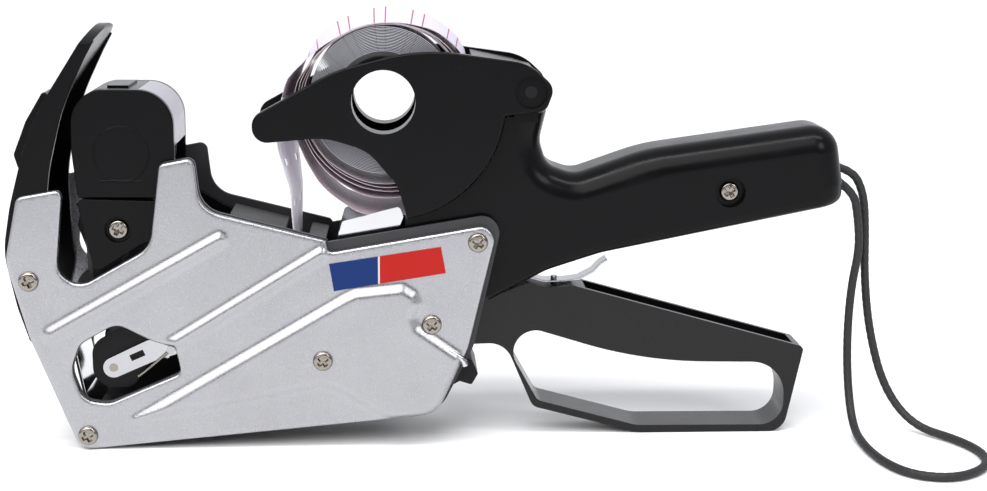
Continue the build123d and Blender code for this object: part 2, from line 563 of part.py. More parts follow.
def ink_housing():
    """Black cover behind the ink roller."""
    face = outline(INK_HOUSING)
    wall = face - Pos(*INK_ROLLER) * Circle(INK_R + 0.4)
    caps = face - Pos(*INK_ROLLER) * Circle(INK_CAP_BORE)
    housing = slab(wall, -INK_HALF, INK_HALF)
    housing += slab(caps, -INK_ARM_IN, -INK_HALF) + slab(caps, INK_HALF, INK_ARM_IN)
    return housing - slab(Pos(-97.0, 27.0) * Rectangle(6.0, 12.0), -INK_HALF, INK_HALF)


# ---- label feed ---------------------------------------------------------------------------------
def feed_wheel():
    """Feed drum with drive pins round its middle and a ratchet at its right end."""
    wheel = rod(FEED_AXLE, FEED_WHEEL_R - 0.6, -FEED_HALF, FEED_HALF - 2.4)
    for i in range(FEED_PINS):
        turn = 2 * pi * i / FEED_PINS
        pin = (FEED_AXLE[0] + (FEED_WHEEL_R - 1.2) * cos(turn), FEED_AXLE[1] + (FEED_WHEEL_R - 1.2) * sin(turn))
        wheel += rod(pin, 0.9, -1.2, 1.2)
    teeth = []
    for i in range(RATCHET_TEETH):
        turn = 2 * pi * i / RATCHET_TEETH
        for radius, lead in ((RATCHET_R, 0.0), (RATCHET_R - 1.1, 0.06)):
            angle = turn + lead
            teeth.append((FEED_AXLE[0] + radius * cos(angle), FEED_AXLE[1] + radius * sin(angle)))
    wheel += slab(make_face(Polyline(*teeth, close=True).edges()), FEED_HALF - 2.4, FEED_HALF)
    return wheel - rod(FEED_AXLE, FEED_AXLE_R + FIT, -FEED_HALF, FEED_HALF)


def bottom_cover():
    """Floor of the gun, hinged at the nose, with the posts of the pressure roller."""
    cover = slab(outline(COVER), -COVER_HALF, COVER_HALF)
    for y_from, y_to in ((-12.4, -11.2), (11.2, 12.4)):
        post = Pos(PRESSURE_AXIS[0], 11.4) * Rectangle(5.0, 7.4) + Pos(*PRESSURE_AXIS) * Circle(2.5)
        cover += slab(post, y_from, y_to)
        knuckle = Pos(*COVER_HINGE) * Circle(2.0) + Pos(-86.2, 3.1) * Rectangle(2.8, 1.6)
        cover += slab(knuckle, y_from - 0.2, y_to - 0.2) if y_from < 0 else slab(knuckle, y_from + 0.2, y_to + 0.2)
    cover -= rod(COVER_HINGE, PIN_R + FIT, -COVER_HALF, COVER_HALF)
    cover -= rod(PRESSURE_AXIS, PIN_R + FIT, -COVER_HALF, COVER_HALF)
    return cover


# ---- roll holder --------------------------------------------------------------------------------
def roll_arm():
    """Left arm of the roll holder, with its hub and the recess at the hinge."""
    arm = slab(outline(ROLL_ARM), -ROLL_ARM_OUT, -ROLL_ARM_IN)
    arm = fillet(arm.faces().sort_by(Axis.Y)[0].edges(), 0.6)
    arm += tube(ROLL_AXIS, HUB_R, HUB_BORE_R, -ROLL_ARM_IN, -HUB_TIP)
    arm -= rod(ROLL_AXIS, HUB_BORE_R, -ROLL_ARM_OUT, -HUB_TIP)
    arm -= rod(ROLL_HINGE, 4.6, -ROLL_ARM_OUT, -ROLL_ARM_OUT + 1.2)
    return arm - rod(ROLL_HINGE, ROLL_PIN_R + FIT, -ROLL_ARM_OUT, -ROLL_ARM_IN)


# ---- build --------------------------------------------------------------------------------------
boxes = []
os.makedirs("parts", exist_ok=True)

plate = side_plate()
save("side_plate_left", plate)
save("side_plate_right", mirrored(plate))
wall = inner_frame()
save("inner_frame_left", wall)
save("inner_frame_right", mirrored(wall))
save("front_guard", front_guard())
save("guard_screw_left", guard_screw())
save("guard_screw_right", mirrored(guard_screw()))

for name, centre, y_seat in (("pivot_screw", PIVOT, PLATE_OUT),
                             ("feed_screw", FEED_AXLE, PLATE_OUT + PRESSING),
                             ("nose_screw", NOSE_AXLE, PLATE_OUT),
                             ("handle_front_screw", HANDLE_FRONT_SCREW, PLATE_OUT)):
    save(name, through_screw(centre, -y_seat, y_seat))
for name, centre, radius in (("pivot_sleeve", PIVOT, PIVOT_R),
                             ("feed_sleeve", FEED_AXLE, FEED_AXLE_R)):
    save(name, tube(centre, radius, SCREW_R, -FRAME_IN, FRAME_IN))
for name, centre in (("ink_arm_pin", INK_PIVOT), ("cover_hinge_pin", COVER_HINGE)):
    save(name, rod(centre, PIN_R, -FRAME_OUT, FRAME_OUT))

shell = handle_shell()
save("handle_shell_left", shell)
save("handle_shell_right", mirrored(shell))
save("handle_screw", handle_screw())
save("roll_hinge_pin", rod(ROLL_HINGE, ROLL_PIN_R, -ROLL_ARM_OUT + 1.0, ROLL_ARM_OUT - 1.0))
save("strap_pin", strap_pin())
save("wrist_strap", wrist_strap())
save("badge", slab(outline(BADGE), -PLATE_OUT - 0.3, -PLATE_OUT))
save("platen", slab(outline(PLATEN), -INSIDE, INSIDE))
save("label_chute", slab(outline(CHUTE), -11.0, 11.0))
save("label_guide", label_guide())
save("top_cover_front", slab(outline(TOP_COVER_FRONT), -INSIDE, INSIDE))
save("top_cover_rear", slab(outline(TOP_COVER_REAR), -INSIDE, INSIDE))
save("label_tape", slab(outline(TAPE), -LABEL_HALF, LABEL_HALF))
save("applicator_roller", tube(NOSE_AXLE, APPLICATOR_R, SCREW_R + FIT, -11.5, 11.5))

save("trigger_grip", trigger_grip())
save("leaf_spring", leaf_spring())
save("leaf_rivet", Pos(LEAF_RIVET[0], 0, LEAF_RIVET[1]) * Cylinder(0.9, 3.0))
arm = lever_arm()
save("lever_arm_left", arm)
save("lever_arm_right", mirrored(arm))
save("lever_cross_bar", rod(CROSS_BAR, 2.2, -ARM_IN, ARM_IN))
save("head_screw_left", head_screw())
save("head_screw_right", mirrored(head_screw()))
cheek = head_cheek()
save("head_cheek_left", cheek)
save("head_cheek_right", mirrored(cheek) - rod(KNOB_AXIS, BUSHING_R + FIT, HEAD_IN, HEAD_OUT))
save("head_cover", head_cover())
save("index_window", index_window())
save("digit_bands", digit_bands())
save("band_wheel", band_wheel())
save("type_bar", type_bar())
save("knob_bushing", knob_bushing())
save("adjusting_knob", adjusting_knob())

save("ink_arm", ink_arm())
save("ink_housing", ink_housing())
save("ink_roller_pin", rod(INK_ROLLER, PIN_R, -INK_ARM_OUT, INK_ARM_OUT))
save("ink_roller", tube(INK_ROLLER, INK_R, PIN_R + FIT, -INK_HALF + GAP, INK_HALF - GAP))

save("feed_wheel", feed_wheel())
save("bottom_cover", bottom_cover())
save("pressure_pin", rod(PRESSURE_AXIS, PIN_R, -12.4, 12.4))
save("pressure_roller", tube(PRESSURE_AXIS, PRESSURE_R, PIN_R + FIT, -10.8, 10.8))
save("cover_release_tab", slab(outline(RELEASE_TAB), -11.0, 11.0))

holder = roll_arm()
save("roll_arm_left", holder)
save("roll_arm_right", mirrored(holder))
bridge = outline(ROLL_BRIDGE) - Pos(*ROLL_HINGE) * Circle(LUG_R + 2 * GAP)
save("roll_bridge", slab(bridge, -ROLL_ARM_IN, ROLL_ARM_IN))
save("roll_core", tube(ROLL_AXIS, CORE_R, HUB_R + FIT, -LABEL_HALF, LABEL_HALF))
save("label_roll", tube(ROLL_AXIS, ROLL_R, CORE_R, -LABEL_HALF, LABEL_HALF))

solid_boxes = [box for name, box in boxes if name != "wrist_strap"]
print("x", min(b.min.X for b in solid_boxes), max(b.max.X for b in solid_boxes))
print("y", min(b.min.Y for b in solid_boxes), max(b.max.Y for b in solid_boxes))
print("z", min(b.min.Z for b in solid_boxes), max(b.max.Z for b in solid_boxes), "nodes", len(boxes))
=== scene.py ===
import json
import math
import random

import bmesh
import bpy
import numpy as np
from mathutils import Matrix, Vector, geometry

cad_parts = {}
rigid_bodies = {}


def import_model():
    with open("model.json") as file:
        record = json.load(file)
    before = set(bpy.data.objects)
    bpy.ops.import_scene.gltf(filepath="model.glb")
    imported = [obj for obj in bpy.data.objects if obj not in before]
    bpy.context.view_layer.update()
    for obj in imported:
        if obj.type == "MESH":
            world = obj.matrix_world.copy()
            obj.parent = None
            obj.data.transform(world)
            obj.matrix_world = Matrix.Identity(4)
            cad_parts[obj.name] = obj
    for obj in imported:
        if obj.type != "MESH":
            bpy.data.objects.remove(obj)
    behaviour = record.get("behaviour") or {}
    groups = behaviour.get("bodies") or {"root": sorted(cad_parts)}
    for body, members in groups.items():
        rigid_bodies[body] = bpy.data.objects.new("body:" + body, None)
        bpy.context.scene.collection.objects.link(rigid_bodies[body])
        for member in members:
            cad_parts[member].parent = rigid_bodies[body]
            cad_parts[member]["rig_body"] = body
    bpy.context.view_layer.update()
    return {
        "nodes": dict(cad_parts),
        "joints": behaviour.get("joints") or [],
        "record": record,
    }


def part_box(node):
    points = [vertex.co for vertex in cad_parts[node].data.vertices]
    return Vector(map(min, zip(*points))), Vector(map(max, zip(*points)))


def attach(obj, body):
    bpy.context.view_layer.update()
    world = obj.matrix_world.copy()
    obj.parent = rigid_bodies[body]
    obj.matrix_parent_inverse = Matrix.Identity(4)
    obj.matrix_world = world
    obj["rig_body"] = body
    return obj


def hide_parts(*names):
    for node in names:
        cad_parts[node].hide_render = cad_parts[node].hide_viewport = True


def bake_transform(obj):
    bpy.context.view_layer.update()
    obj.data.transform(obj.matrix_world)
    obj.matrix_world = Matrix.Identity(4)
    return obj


# A hand-held price labeling gun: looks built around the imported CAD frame.
# Outlines are side views in millimetres, in the same design coordinates as the CAD source, and
# spot() turns them into metres in the row frame. Random draws are seeded.

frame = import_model()
nodes = frame["nodes"]
joints = {j["name"]: j for j in frame["joints"]}
slots = {part["node"]: part["material_slot"] for part in frame["record"]["subparts"]}
random.seed(7)

# ---- the frame ----------------------------------------------------------------------------
MM = 0.001
PIVOT = (0.1, 36.3)                     # design coordinates of the trigger's pivot
pivot_at = joints["trigger_pivot"]["pos_m"]
ORIGIN = Vector((pivot_at[0] - PIVOT[0] * MM, pivot_at[1], pivot_at[2] - PIVOT[1] * MM))


def spot(x, y, z):
    """Design coordinates in millimetres to the row frame in metres."""
    return ORIGIN + Vector((x, y, z)) * MM


def axis_of(joint):
    """Design coordinates (x, z) of a joint's axis."""
    at = Vector(joints[joint]["pos_m"]) - ORIGIN
    return at.x / MM, at.z / MM


ROLL_AXIS = axis_of("label_roll_turn")


def round_spot(centre, radius, angle, y):
    """Point of the row frame at a radius and angle about a centre (x, z)."""
    return spot(centre[0] + radius * math.cos(angle), y, centre[1] + radius * math.sin(angle))


# ---- sizes, millimetres ---------------------------------------------------------------------
PLATE_OUT = 18.0
PLATE_THICK = 1.8
PRESSING = 1.45
BEAD_HIGH = 1.1
RIM = 0.9
PLATE_GRID = 0.8          # spacing of a side plate's mesh
RIM_RINGS = (0.12, 0.3, 0.55, 0.9)
TAPE_HALF = 10.6
CORE_R = 13.8
STRAP_R = 1.25

PLATE = [
    (-115.7, 73.4, 2.4), (-102.9, 75.7, 1.8), (-106.2, 43.8, 6), (-79.2, 59.0, 8),
    (-76.0, 82.7, 1.8), (-66.5, 84.5, 2.2), (-65.0, 69.7, 8), (-29.8, 60.9, 1.3),
    (-29.0, 57.4, 1.3), (19.3, 65.7, 4.2), (10.6, 29.0, 14), (1.6, 9.4, 8),
    (-100.7, -0.3, 4.5), (-113.6, 32.3, 30), (-119.6, 55.0, 14),
]
WINDOW = [
    (-89.3, 36.9, 5), (-79.8, 32.0, 6), (-72.9, 29.7, 1.5), (-71.5, 22.4, 2),
    (-92.2, 13.5, 6), (-99.4, 14.6, 5), (-102.4, 23.6, 7), (-99.8, 31.0, 5),
]
BEADS = [((-107.8, 34.1), (-59.7, 61.3), 2.8), ((-73.7, 30.9), (-31.0, 57.2), 2.7)]
PANEL = [
    (-84.9, 8.9), (-24.6, 44.4), (-21.7, 45.8), (-8.1, 47.2), (-5.0, 45.2), (-3.8, 42.2),
    (-5.4, 38.6), (-4.2, 35.6), (22.0, 17.0), (22.0, -6.0), (-1.6, 2.0), (-26.8, 17.6),
    (-31.4, 19.0), (-35.4, 17.9),
]
PANEL_SLOPE = 1.5


# ---- materials --------------------------------------------------------------------------------
def shader(name):
    """New node material, its node tree and its Principled node."""
    made = bpy.data.materials.new(name)
    made.use_nodes = True
    tree = made.node_tree
    return made, tree, tree.nodes["Principled BSDF"]


def node(tree, kind, **settings):
    made = tree.nodes.new(kind)
    for key, value in settings.items():
        setattr(made, key, value)
    return made


def noise(tree, scale, detail=4.0, stretch=(1, 1, 1)):
    """Noise in metres of the row frame, stretched along an axis."""
    place = node(tree, "ShaderNodeTexCoord")
    mapping = node(tree, "ShaderNodeMapping")
    mapping.inputs["Scale"].default_value = stretch
    texture = node(tree, "ShaderNodeTexNoise")
    texture.inputs["Scale"].default_value = scale
    texture.inputs["Detail"].default_value = detail
    tree.links.new(place.outputs["Object"], mapping.inputs["Vector"])
    tree.links.new(mapping.outputs["Vector"], texture.inputs["Vector"])
    return texture


def ramp(tree, source, stops, interpolation="LINEAR"):
    """Colours at places from 0 to 1 of a source; a plain number stands for a grey."""
    made = node(tree, "ShaderNodeValToRGB")
    made.color_ramp.interpolation = interpolation
    while len(made.color_ramp.elements) < len(stops):
        made.color_ramp.elements.new(0.5)
    for element, (place, colour) in zip(made.color_ramp.elements, stops):
        element.position = place
        element.color = (*colour, 1) if hasattr(colour, "__len__") else (colour, colour, colour, 1)
    tree.links.new(source, made.inputs["Fac"])
    return made.outputs["Color"]


def vary(tree, bsdf, socket, texture, stops):
    """Drives one of the shader's sockets from a noise texture, through a ramp."""
    tree.links.new(ramp(tree, texture.outputs["Fac"], stops), bsdf.inputs[socket])


def bump(tree, bsdf, texture, strength, distance):
    made = node(tree, "ShaderNodeBump")
    made.inputs["Strength"].default_value = strength
    made.inputs["Distance"].default_value = distance
    tree.links.new(texture.outputs["Fac"], made.inputs["Height"])
    tree.links.new(made.outputs["Normal"], bsdf.inputs["Normal"])


def plastic(name, colour, rough, grain_scale=2600, grain=0.00001, mottled=0.12, shine=0.5):
    """Moulded plastic: faint mottling of its colour and gloss, and a fine moulded grain."""
    made, tree, bsdf = shader(name)
    bsdf.inputs["Specular IOR Level"].default_value = shine
    cloud = noise(tree, 90, 5)
    dark = tuple(c * (1 - mottled) for c in colour)
    light = tuple(min(1, c * (1 + mottled)) for c in colour)
    vary(tree, bsdf, "Base Color", cloud, [(0.3, dark), (0.7, light)])
    vary(tree, bsdf, "Roughness", cloud, [(0.25, rough - 0.05), (0.75, rough + 0.05)])
    bump(tree, bsdf, noise(tree, grain_scale, 3), 0.35, grain)
    return made


def metal(name, colour, rough, brushed=(1, 1, 1), scale=1800, depth=0.00001, spread=0.06):
    """Metal with a fine blasted or brushed grain and slight differences of polish."""
    made, tree, bsdf = shader(name)
    bsdf.inputs["Metallic"].default_value = 1.0
    grain = noise(tree, scale, 4, brushed)
    dull = tuple(c * 0.94 for c in colour)
    vary(tree, bsdf, "Base Color", noise(tree, 60, 4), [(0.3, dull), (0.7, colour)])
    vary(tree, bsdf, "Roughness", grain, [(0.3, rough - spread), (0.7, rough + spread)])
    bump(tree, bsdf, grain, 0.4, depth)
    return made


def paper(name, colour, tint):
    """Coated paper or card with soft fibres."""
    made, tree, bsdf = shader(name)
    fibres = noise(tree, 700, 6)
    vary(tree, bsdf, "Base Color", noise(tree, 45, 4), [(0.3, colour), (0.72, tint)])
    vary(tree, bsdf, "Roughness", fibres, [(0.3, 0.42), (0.7, 0.58)])
    bump(tree, bsdf, fibres, 0.25, 0.00002)
    return made


def badge_enamel():
    """Badge in two plain colours, blue at the left and red at the right of a white line."""
    made, tree, bsdf = shader("badge_enamel")
    bsdf.inputs["Specular IOR Level"].default_value = 0.2
    low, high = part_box("badge")
    place = node(tree, "ShaderNodeTexCoord")
    parts = node(tree, "ShaderNodeSeparateXYZ")
    tree.links.new(place.outputs["Object"], parts.inputs["Vector"])
    span = node(tree, "ShaderNodeMapRange")
    span.inputs["From Min"].default_value = low.x
    span.inputs["From Max"].default_value = high.x
    tree.links.new(parts.outputs["X"], span.inputs["Value"])
    blue, white, red = (0.002, 0.020, 0.115), (0.50, 0.50, 0.50), (0.36, 0.008, 0.005)
    stops = [(0.0, blue), (0.415, white), (0.43, red)]
    tree.links.new(ramp(tree, span.outputs["Result"], stops, "CONSTANT"), bsdf.inputs["Base Color"])
    grain = noise(tree, 1500, 3)
    vary(tree, bsdf, "Roughness", grain, [(0.3, 0.28), (0.7, 0.36)])
    bump(tree, bsdf, grain, 0.2, 0.000008)
    return made


BLACK = (0.0035, 0.0035, 0.004)
# Finish: its maker, its colour, its roughness or paper's second colour, and what else the maker takes.
FINISHES = {
    "sheet_aluminium": (metal, (0.40, 0.40, 0.42), 0.33, {"scale": 2600, "depth": 0.00005, "spread": 0.10}),
    "frame_plastic": (plastic, (0.030, 0.030, 0.033), 0.42, {"mottled": 0.2, "shine": 0.3}),
    "black_plastic": (plastic, BLACK, 0.24, {"grain_scale": 900, "grain": 0.000006, "shine": 0.11}),
    "grip_plastic": (plastic, BLACK, 0.27, {"grain_scale": 900, "grain": 0.000006, "shine": 0.3}),
    "black_matte": (plastic, (0.008, 0.008, 0.009), 0.42, {"grain": 0.00002, "shine": 0.16}),
    "nickel": (metal, (0.29, 0.265, 0.235), 0.17, {"scale": 2400, "depth": 0.000008}),
    "steel": (metal, (0.40, 0.40, 0.42), 0.22, {"brushed": (1, 14, 1)}),
    "chrome_sheet": (metal, (0.60, 0.60, 0.62), 0.10, {"scale": 900, "depth": 0.000005, "spread": 0.03}),
    "spring_steel": (metal, (0.46, 0.46, 0.48), 0.20, {"brushed": (8, 1, 1)}),
    "lavender_plastic": (plastic, (0.26, 0.25, 0.30), 0.22, {"mottled": 0.06}),
    "grey_plastic": (plastic, (0.36, 0.36, 0.38), 0.42, {"mottled": 0.08}),
    "band_rubber": (plastic, (0.018, 0.018, 0.018), 0.55, {"grain": 0.00003}),
    "ink_foam": (plastic, (0.020, 0.014, 0.045), 0.75, {"grain_scale": 1800, "grain": 0.0001}),
    "roller_rubber": (plastic, (0.03, 0.03, 0.03), 0.6, {"grain": 0.00003}),
    "label_paper": (paper, (0.70, 0.67, 0.72), (0.84, 0.80, 0.86), {}),
    "core_card": (paper, (0.03, 0.03, 0.032), (0.05, 0.05, 0.05), {}),
    "strap_braid": (plastic, (0.008, 0.008, 0.009), 0.62, {"grain_scale": 5000, "grain": 0.00008}),
}
materials = {name: maker(name, *values, **more) for name, (maker, *values, more) in FINISHES.items()}
materials["badge_enamel"] = badge_enamel()


def dress_nodes():
    """Gives every CAD node the finish of its material slot."""
    for name, piece in nodes.items():
        piece.data.materials.clear()
        piece.data.materials.append(materials[slots[name]])


# ---- mesh tools -------------------------------------------------------------------------------
def rounded(corners, sag=0.02):
    """Closed line (x, z) through corners (x, z, radius), its arcs divided to a small sag."""
    line = []
    count = len(corners)
    for i, (x, z, radius) in enumerate(corners):
        here = Vector((x, z))
        first = (here - Vector(corners[i - 1][:2])).normalized()
        second = (Vector(corners[(i + 1) % count][:2]) - here).normalized()
        turn = first.angle_signed(second)
        if radius < 0.01 or abs(turn) < 0.01:
            line.append(here)
            continue
        reach = radius * math.tan(abs(turn) / 2)
        start = here - first * reach
        side = Vector((first.y, -first.x)) * (1 if turn > 0 else -1)
        centre = start + side * radius
        steps = max(2, math.ceil(abs(turn) / (2 * math.acos(max(-1, 1 - sag / radius)))))
        for k in range(steps + 1):
            line.append(centre + Matrix.Rotation(-turn * k / steps, 2) @ (start - centre))
    return [(p.x, p.y) for p in line]


def resample(line, step):
    """Closed line with extra points on its long runs."""
    dense = []
    for (x0, z0), (x1, z1) in zip(line, line[1:] + line[:1]):
        parts = max(1, math.ceil(math.hypot(x1 - x0, z1 - z0) / step))
        dense += [(x0 + (x1 - x0) * k / parts, z0 + (z1 - z0) * k / parts) for k in range(parts)]
    return dense


def distance_to(points, line, closed=True):
    """Distance of each point to a line, both as arrays of (x, z)."""
    a = np.array(line, float)
    b = np.roll(a, -1, axis=0)
    if not closed:
        a, b = a[:-1], b[:-1]
    best = np.full(len(points), 1e9)
    for start, end in zip(a, b):
        run = end - start
        t = np.clip(((points - start) @ run) / max(run @ run, 1e-12), 0, 1)
        best = np.minimum(best, np.hypot(*(points - start - t[:, None] * run).T))
    return best


def inside(points, line):
    """Which points lie inside a closed line."""
    x, z = points.T
    found = np.zeros(len(points), bool)
    for (x0, z0), (x1, z1) in zip(line, line[1:] + line[:1]):
        crosses = (z0 > z) != (z1 > z)
        reach = (x1 - x0) * (z - z0) / (z1 - z0 if z1 != z0 else 1e-12) + x0
        found ^= crosses & (x < reach)
    return found


def smooth(t):
    t = np.clip(t, 0, 1)
    return t * t * (3 - 2 * t)


def pressed_step(t):
    """Straight slope from 0 to 1 with rounded ends, as a press leaves in sheet."""
    t, soft = np.clip(t, 0, 1), 0.18
    middle = (t - soft / 2) / (1 - soft)
    low, high = t * t / (2 * soft * (1 - soft)), 1 - (1 - t) ** 2 / (2 * soft * (1 - soft))
    return np.where(t < soft, low, np.where(t > 1 - soft, high, middle))


def new_piece(name, mesh_maker, body, slot, material=None, sharp=35):
    """A mesh piece in the row frame that rides on a body."""
    mesh = bpy.data.meshes.new(name)
    shape = bmesh.new()
    mesh_maker(shape)
    bmesh.ops.recalc_face_normals(shape, faces=shape.faces)
    for face in shape.faces:
        face.smooth = True
    for edge in shape.edges:
        if len(edge.link_faces) == 2 and edge.calc_face_angle(0) > math.radians(sharp):
            edge.smooth = False
    shape.to_mesh(mesh)
    shape.free()
    piece = bpy.data.objects.new(name, mesh)
    bpy.context.scene.collection.objects.link(piece)
    mesh.materials.append(material or materials[slot])
    if body:
        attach(piece, body)
    return piece


def relief(shape, outer, holes, y_face, y_back, depth_of, grid, rings):
    """Closed slab between two side planes whose face at y_face is moved by depth_of(points, rim)."""
    loops = [resample(outer, grid)] + [resample(h, grid) for h in holes]
    fixed = np.array([p for loop in loops for p in loop])
    edges, start = [], 0
    for loop in loops:
        edges += [(start + i, start + (i + 1) % len(loop)) for i in range(len(loop))]
        start += len(loop)
    extra = []
    for ring in rings:
        for loop in loops:
            pts = np.array(loop)
            along = np.roll(pts, -1, axis=0) - np.roll(pts, 1, axis=0)
            along /= np.hypot(*along.T)[:, None] + 1e-12
            for side in (1, -1):
                extra.append(pts + np.stack([along[:, 1], -along[:, 0]], 1) * side * ring)
    low, high = fixed.min(0), fixed.max(0)
    xs, zs = np.arange(low[0], high[0], grid), np.arange(low[1], high[1], grid * 0.87)
    mesh_x, mesh_z = np.meshgrid(xs, zs)
    mesh_x[1::2] += grid / 2
    lattice = np.stack([mesh_x.ravel(), mesh_z.ravel()], 1)

    def rim_of(places):
        return np.min([distance_to(places, loop) for loop in loops], axis=0)

    lattice = lattice[inside(lattice, loops[0])]
    lattice = lattice[rim_of(lattice) > (rings[-1] if rings else 0) + grid * 0.4]
    kept = [fixed]
    for ring, pts in zip([r for r in rings for _ in range(2 * len(loops))], extra):
        pts = pts[inside(pts, loops[0])]
        if len(pts):
            kept.append(pts[np.abs(rim_of(pts) - ring) < ring * 0.15])
    points = np.concatenate(kept + [lattice])
    for hole in loops[1:]:
        keep = ~inside(points, hole)
        keep[:len(fixed)] = True
        points = points[keep]
    verts, _, faces, _, _, _ = geometry.delaunay_2d_cdt([Vector(p) for p in points], edges, [], 0, 1e-5)
    flat = np.array([tuple(v) for v in verts])
    middles = np.array([flat[list(f)].mean(0) for f in faces])
    good = inside(middles, loops[0])
    for hole in loops[1:]:
        good &= ~inside(middles, hole)
    faces = [f for f, ok in zip(faces, good) if ok]
    used = sorted({i for f in faces for i in f})
    rim = np.zeros(len(flat))
    rim[used] = rim_of(flat[used])
    depth = depth_of(flat, rim)
    out = 1 if y_back > y_face else -1
    front = {i: shape.verts.new(spot(flat[i][0], y_face + out * depth[i], flat[i][1])) for i in used}
    back = {i: shape.verts.new(spot(flat[i][0], y_back, flat[i][1])) for i in used}
    count = {}
    for f in faces:
        shape.faces.new([front[i] for i in f])
        shape.faces.new([back[i] for i in reversed(f)])
        for a, b in zip(f, f[1:] + f[:1]):
            key = (min(a, b), max(a, b))
            count[key] = count.get(key, 0) + 1
    for (a, b), n in count.items():
        if n == 1:
            shape.faces.new([front[a], front[b], back[b], back[a]])


def rim_depth(rim, radius):
    """How far a rounded rim falls back at a distance from the outline's edge."""
    t = np.clip(1 - rim / radius, 0, 1)
    return radius * (1 - np.sqrt(1 - t * t))


def tube_along(shape, line, radius_of, sides):
    """Tube round a line of row-frame points; radius_of(ring, side) is in metres."""
    rings, normal = [], None
    for i, here in enumerate(line):
        along = (line[min(i + 1, len(line) - 1)] - line[max(i - 1, 0)]).normalized()
        if normal is None:
            normal = along.orthogonal().normalized()
        normal = (normal - along * normal.dot(along)).normalized()
        other = along.cross(normal)
        ring = []
        for k in range(sides):
            angle = 2 * math.pi * k / sides
            outward = normal * math.cos(angle) + other * math.sin(angle)
            ring.append(shape.verts.new(here + outward * radius_of(i, k)))
        rings.append(ring)
    for low, high in zip(rings, rings[1:]):
        for k in range(sides):
            shape.faces.new([low[k], low[(k + 1) % sides], high[(k + 1) % sides], high[k]])
    shape.faces.new(rings[0][::-1])
    shape.faces.new(rings[-1])


def bezier_line(points, step):
    """Smooth open line through row-frame points (Catmull-Rom), with a point about every step."""
    line = []
    ends = [points[0] * 2 - points[1]] + list(points) + [points[-1] * 2 - points[-2]]
    for a, b, c, d in zip(ends, ends[1:], ends[2:], ends[3:]):
        parts = max(2, math.ceil((c - b).length / step))
        for k in range(parts):
            t = k / parts
            line.append(0.5 * ((2 * b) + (c - a) * t + (2 * a - 5 * b + 4 * c - d) * t * t
                               + (3 * b - a - 3 * c + d) * t ** 3))
    line.append(points[-1])
    return line


# ---- side plates ------------------------------------------------------------------------------
def plate_relief(points, rim):
    """Depth of a side plate's face: rounded rim, pressed beads and the pressed panel."""
    depth = rim_depth(rim, RIM)
    raised = np.zeros(len(points))
    for start, end, half in BEADS:
        away = distance_to(points, [start, end], closed=False)
        raised = np.maximum(raised, BEAD_HIGH * 0.5 * (1 + np.cos(np.pi * np.clip(away / half, 0, 1))))
    signed = distance_to(points, PANEL) * np.where(inside(points, PANEL), 1, -1)
    raised = np.maximum(raised, PRESSING * pressed_step(0.5 + signed / (2 * PANEL_SLOPE)))
    return depth - raised * smooth(rim / 2.0)


def side_plates():
    for side, sign in (("left", -1), ("right", 1)):
        piece = new_piece(
            f"plate_{side}",
            lambda shape: relief(shape, rounded(PLATE), [rounded(WINDOW)], sign * PLATE_OUT,
                                 sign * (PLATE_OUT - PLATE_THICK), plate_relief, PLATE_GRID, RIM_RINGS),
            "frame", "sheet_aluminium", sharp=50)
        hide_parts(f"side_plate_{side}")


# ---- wrist strap --------------------------------------------------------------------------------
STRAP_EXIT_X = 116.6
STRAP = [
    (STRAP_EXIT_X, 1.6, 79.7), (124.9, 1.6, 78.4), (128.9, 1.2, 71.2), (129.8, 0.8, 60.0),
    (130.2, 0.8, 46.0), (132.4, 0.4, 29.0), (137.0, -2.0, 12.0), (144.4, -9.0, 1.9),
    (154.6, -21.6, 1.3), (158.0, -34.0, 1.3), (154.6, -46.0, 1.3), (143.6, -54.6, 1.3),
    (132.6, -52.4, 1.3), (127.0, -42.0, 1.3), (125.2, -26.0, 1.3), (125.8, -11.0, 2.2),
    (125.6, -3.6, 13.0), (125.0, -2.4, 28.0), (125.6, -2.0, 43.0), (127.6, -2.0, 55.0),
    (126.6, -2.0, 64.5), (124.9, -1.8, 72.6), (STRAP_EXIT_X, -1.6, 77.4),
]
BRAID_PITCH = 2.4         # millimetres of one crossing of the braid
BRAID_STRANDS = 4
BRAID_SIDES = 24
BRAID_DEEP = 0.16         # of the grooves between strands, as a share of the cord's radius
STRAP_STEP = 0.0004       # metres from one ring of the braid to the next
STRAP_MERGE = 0.00022     # metres within which the route's points count as one


def strap_route():
    """Points read from the strap's NURBS line, in the row frame."""
    curve = bpy.data.curves.new("strap_route", "CURVE")
    curve.dimensions = "3D"
    curve.resolution_u = 40
    spline = curve.splines.new("NURBS")
    spline.points.add(len(STRAP) - 1)
    for point, place in zip(spline.points, STRAP):
        point.co = (*spot(*place), 1)
    spline.order_u = 3
    spline.use_endpoint_u = True
    route = bpy.data.objects.new("strap_route", curve)
    bpy.context.scene.collection.objects.link(route)
    bpy.context.view_layer.update()
    sampled = bpy.data.meshes.new_from_object(route)
    points = [v.co.copy() for v in sampled.vertices]
    bpy.data.meshes.remove(sampled)
    bpy.data.objects.remove(route)
    bpy.data.curves.remove(curve)
    return points


